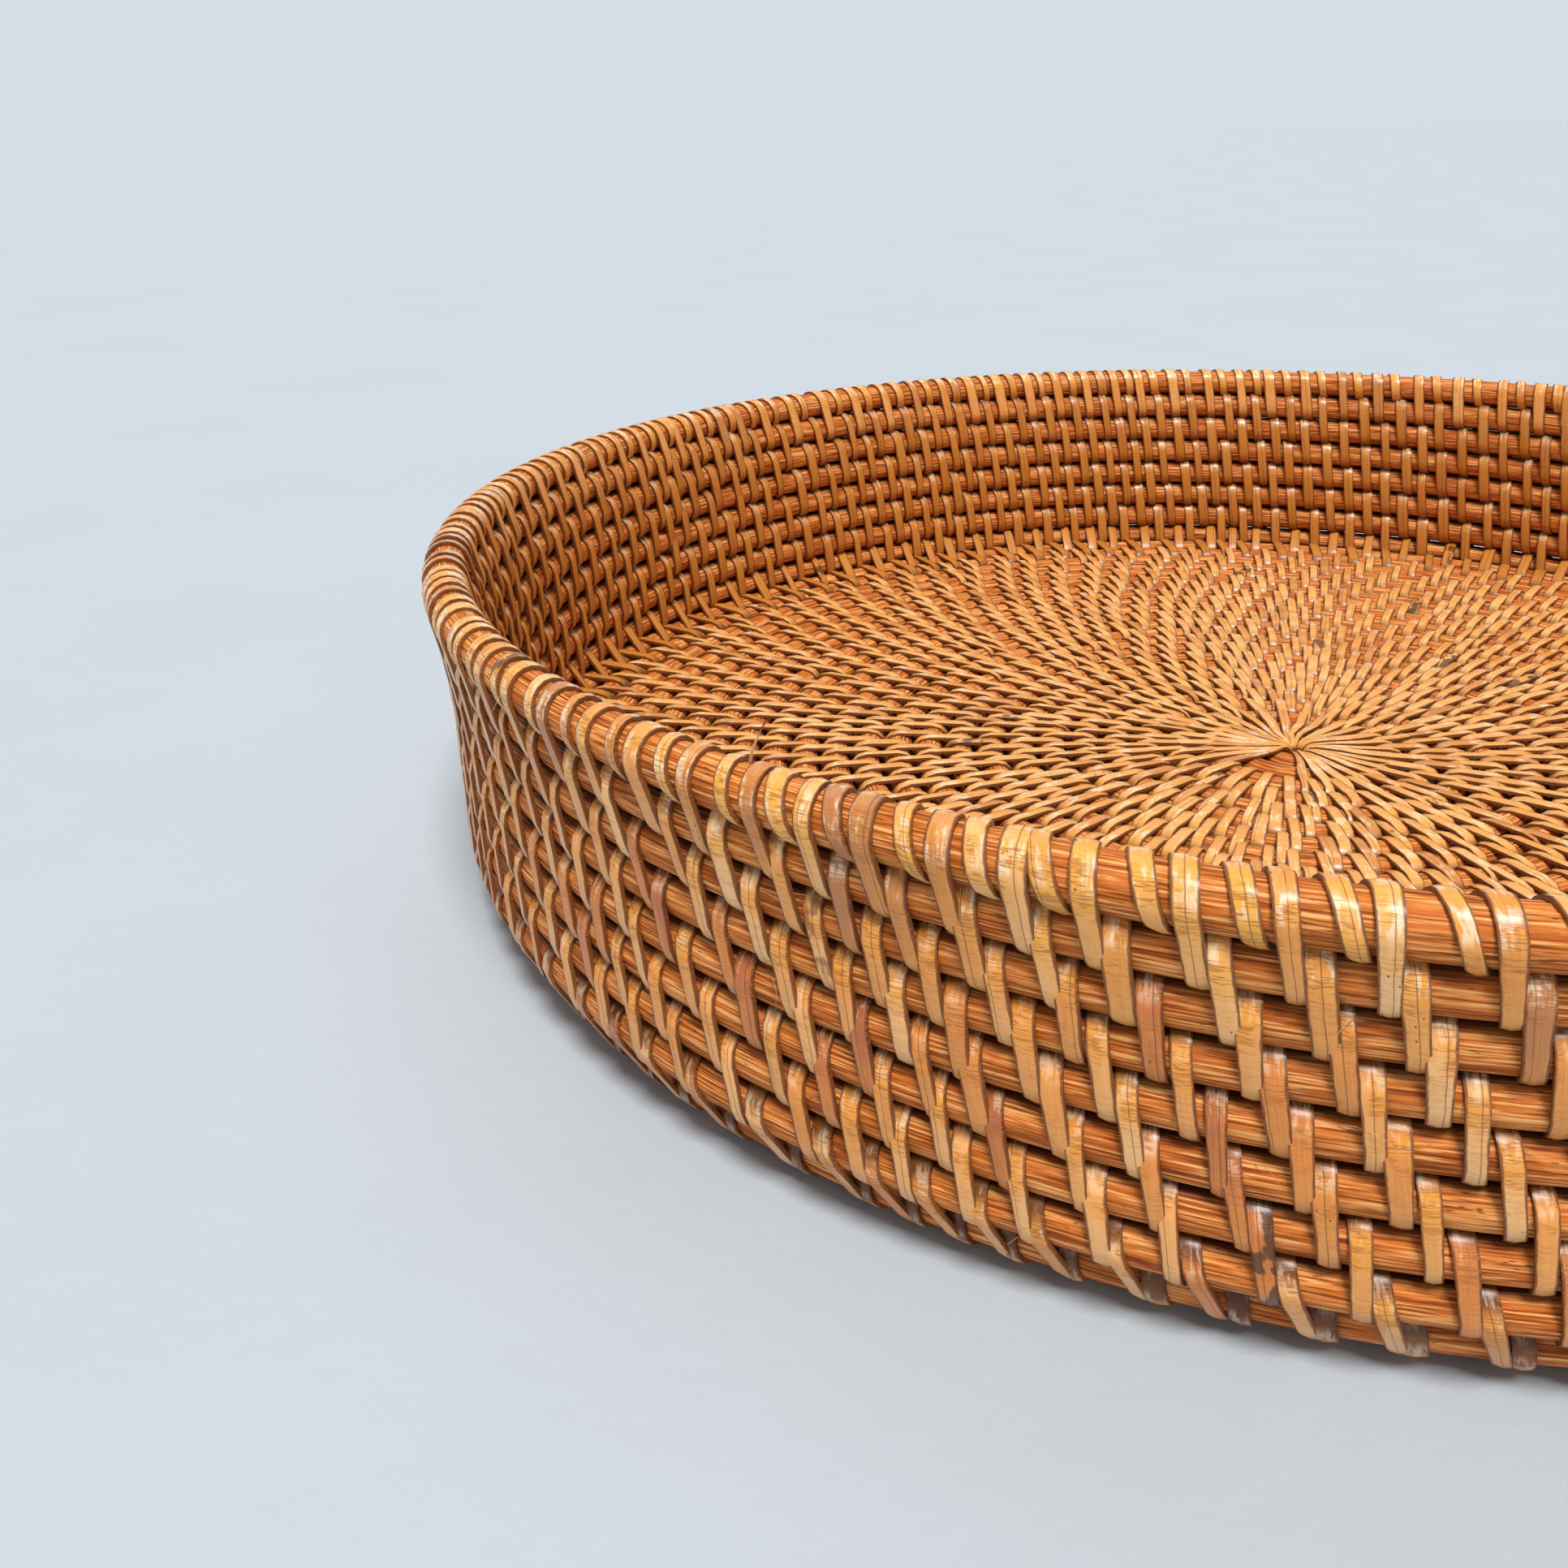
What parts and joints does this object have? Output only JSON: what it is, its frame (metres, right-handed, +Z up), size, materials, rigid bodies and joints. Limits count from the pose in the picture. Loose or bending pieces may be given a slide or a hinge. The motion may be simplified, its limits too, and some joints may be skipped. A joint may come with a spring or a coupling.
{
  "type": "coiled rattan tray basket",
  "caption": "Round open tray basket coiled from one round cane and lashed turn to turn with flat peeled strips.",
  "frame": {"origin": "centre of the coil, on the plane that the floor rests on", "axes": "+Z up through the open top; the cane winds outwards and upwards counter-clockwise seen from above; -Y is the side nearest the viewer"},
  "size_m": [0.3004, 0.3008, 0.0554],
  "materials": {
    "core_cane": "satin, lightly polished by handling, fine lengthwise fibres",
    "wall_strip": "glossy outer peel of rattan, split lengthwise, honey to straw",
    "floor_strip": "satin peeled rattan strip, golden",
    "rim_strip": "glossy outer peel of rattan, worn at the bend"
  },
  "bodies": {
    "root": {"base_cane": "core_cane", "base_lashing": "wall_strip", "centre_lashing": "floor_strip", "floor_cane_1": "core_cane", "floor_cane_2": "core_cane", "floor_cane_3": "core_cane", "floor_cane_4": "core_cane", "floor_cane_5": "core_cane", "floor_cane_6": "core_cane", "floor_lashing_1": "floor_strip", "floor_lashing_2": "floor_strip", "floor_lashing_3": "floor_strip", "floor_lashing_4": "floor_strip", "floor_lashing_5": "floor_strip", "floor_lashing_6": "floor_strip", "rim_cane": "core_cane", "rim_lashing": "rim_strip", "rim_short_wraps": "rim_strip", "wall_cane_1": "core_cane", "wall_cane_2": "core_cane", "wall_cane_3": "core_cane", "wall_cane_4": "core_cane", "wall_cane_5": "core_cane", "wall_cane_6": "core_cane", "wall_cane_7": "core_cane", "wall_lashing_1": "wall_strip", "wall_lashing_2": "wall_strip", "wall_lashing_3": "wall_strip", "wall_lashing_4": "wall_strip", "wall_lashing_5": "wall_strip", "wall_lashing_6": "wall_strip", "wall_lashing_7": "wall_strip"}
  },
  "joints": []
}
